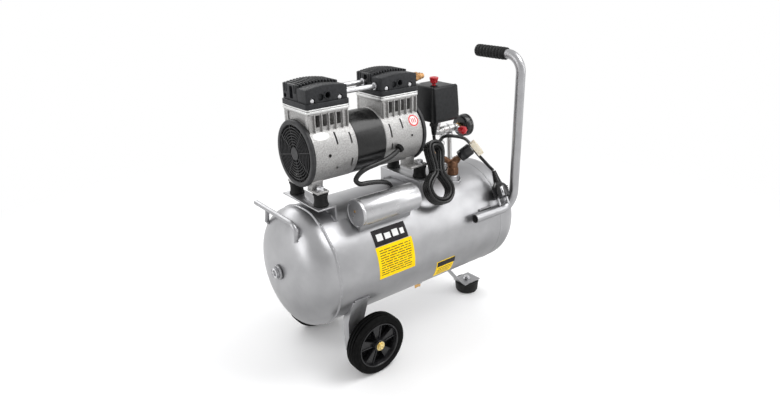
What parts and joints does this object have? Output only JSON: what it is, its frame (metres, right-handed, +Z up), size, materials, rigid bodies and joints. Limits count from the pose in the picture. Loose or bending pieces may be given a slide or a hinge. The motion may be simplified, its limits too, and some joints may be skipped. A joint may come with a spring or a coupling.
{
  "type": "air compressor",
  "caption": "Portable oil-free electric air compressor with a double-ended motor pump on a horizontal tank with wheels, foot, pull handle, carry handle, pressure switch, gauge and mains lead.",
  "frame": {"origin": "on the floor under the middle of the machine's box, cord and plug left out", "axes": "+X along the tank towards the pull handle, -X is the wheel end, -Y is the side with the pull handle and capacitor, +Z up"},
  "size_m": [0.577, 0.2739, 0.6034],
  "materials": {
    "silver_paint": "metallic satin",
    "cast_aluminium": "cast, satin",
    "black_paint": "satin",
    "laminations": "gloss",
    "black_plastic": "fine texture",
    "rubber": "matte",
    "tyre_rubber": "matte",
    "cord_jacket": "satin",
    "steel": "zinc plated",
    "brass": "satin",
    "bronze": "dull",
    "yellow_zinc": "yellow chromate",
    "red_plastic": "gloss",
    "white_nylon": "satin",
    "clear_lens": "clear"
  },
  "bodies": {
    "frame": {"tank_shell": "silver_paint", "carry_handle": "silver_paint", "pull_handle": "silver_paint", "wheel_leg_near": "silver_paint", "wheel_leg_far": "silver_paint", "foot_leg": "silver_paint", "motor_bracket_front": "silver_paint", "motor_bracket_rear": "silver_paint", "capacitor_case": "silver_paint", "housing_front": "cast_aluminium", "housing_rear": "cast_aluminium", "valve_plate_front": "cast_aluminium", "valve_plate_rear": "cast_aluminium", "cylinder_head_front": "black_paint", "cylinder_head_rear": "black_paint", "pressure_gauge": "black_paint", "stator": "laminations", "fan_grille_front": "black_plastic", "fan_grille_rear": "black_plastic", "unloader_coil": "black_plastic", "pressure_switch": "black_plastic", "cord_gland": "black_plastic", "mains_plug": "black_plastic", "handle_grip": "rubber", "foot_rubber": "rubber", "rubber_mount_front_near": "rubber", "rubber_mount_front_far": "rubber", "rubber_mount_rear_near": "rubber", "rubber_mount_rear_far": "rubber", "motor_lead": "cord_jacket", "cord_start": "cord_jacket", "cord_run": "cord_jacket", "cord_hank": "cord_jacket", "front_bung": "steel", "foot_bolt": "steel", "transfer_tube_1": "steel", "transfer_tube_2": "steel", "delivery_tube": "steel", "riser_tube": "steel", "manifold": "steel", "outlet_fitting": "brass", "check_valve": "bronze", "axle_bolt_near": "yellow_zinc", "axle_bolt_far": "yellow_zinc", "coil_connector": "white_nylon", "gauge_lens": "clear_lens"},
    "wheel_near": {"wheel_rim_near": "black_plastic", "tyre_near": "tyre_rubber"},
    "wheel_far": {"wheel_rim_far": "black_plastic", "tyre_far": "tyre_rubber"},
    "rotor": {"rotor_shaft": "steel", "fan_front": "black_plastic", "fan_rear": "black_plastic"},
    "piston_front": {"piston_front": "cast_aluminium"},
    "piston_rear": {"piston_rear": "cast_aluminium"},
    "drain_screw": {"drain_screw": "brass"},
    "switch_knob": {"switch_knob": "red_plastic"},
    "outlet_tap": {"outlet_tap": "red_plastic"},
    "safety_pull": {"safety_valve_pull": "steel"},
    "needle": {"gauge_needle": "red_plastic"}
  },
  "joints": [
    {"name": "wheel_near_spin", "type": "hinge", "parent": "frame", "child": "wheel_near", "pos_m": [-0.138, -0.113, 0.064], "axis": [0, 1, 0], "continuous": true},
    {"name": "wheel_far_spin", "type": "hinge", "parent": "frame", "child": "wheel_far", "pos_m": [-0.138, 0.113, 0.064], "axis": [0, 1, 0], "continuous": true},
    {"name": "rotor_spin", "type": "hinge", "parent": "frame", "child": "rotor", "pos_m": [-0.0915, 0, 0.45], "axis": [1, 0, 0], "continuous": true},
    {"name": "piston_front_slide", "type": "slide", "parent": "frame", "child": "piston_front", "axis": [0, 0, 1], "range_m": [-0.008, 0.008]},
    {"name": "piston_rear_slide", "type": "slide", "parent": "frame", "child": "piston_rear", "axis": [0, 0, 1], "range_m": [-0.008, 0.008]},
    {"name": "drain_screw_turn", "type": "hinge", "parent": "frame", "child": "drain_screw", "pos_m": [0.0715, 0, 0.09], "axis": [0, 0, 1], "range_deg": [0, 540]},
    {"name": "switch_knob_pull", "type": "slide", "parent": "frame", "child": "switch_knob", "axis": [0, 0, 1], "range_m": [0, 0.008]},
    {"name": "outlet_tap_turn", "type": "hinge", "parent": "frame", "child": "outlet_tap", "pos_m": [0.176, -0.0203, 0.428], "axis": [0, 1, 0], "range_deg": [0, 90]},
    {"name": "safety_pull_slide", "type": "slide", "parent": "frame", "child": "safety_pull", "axis": [0, 0, -1], "range_m": [0, 0.003], "stiffness_N_per_m": 2500, "springref_m": -0.002},
    {"name": "needle_turn", "type": "hinge", "parent": "frame", "child": "needle", "pos_m": [0.2, 0, 0.428], "axis": [1, 0, 0], "range_deg": [0, 270]}
  ]
}
